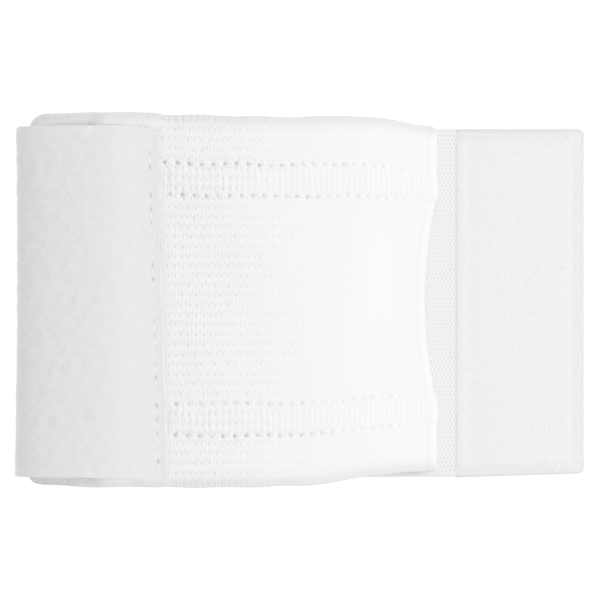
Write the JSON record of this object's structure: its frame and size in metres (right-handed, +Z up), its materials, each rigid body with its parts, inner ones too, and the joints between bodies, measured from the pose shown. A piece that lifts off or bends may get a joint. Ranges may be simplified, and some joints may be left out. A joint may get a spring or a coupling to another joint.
{
  "type": "wrist support",
  "caption": "Pull-on elastic knit wrist sleeve lying flat, with a sewn wrap-round mesh strap that carries a soft loop panel and a hook tape tab at its free end.",
  "frame": {"origin": "middle of the bounding box, on the surface that the support lies on", "axes": "+X along the strap towards the hook tab, +Y along the arm, +Z up"},
  "size_m": [0.1128, 0.0736, 0.0163],
  "materials": {
    "knit": "matt white elastic knit",
    "mesh": "matt white elastic mesh",
    "loop_fabric": "soft brushed white loop pile",
    "hook_tape": "white nylon hook tape with a slight sheen"
  },
  "bodies": {
    "root": {"knit_sleeve": "knit", "mesh_strap": "mesh", "loop_panel": "loop_fabric", "hook_tab": "hook_tape"}
  },
  "joints": []
}
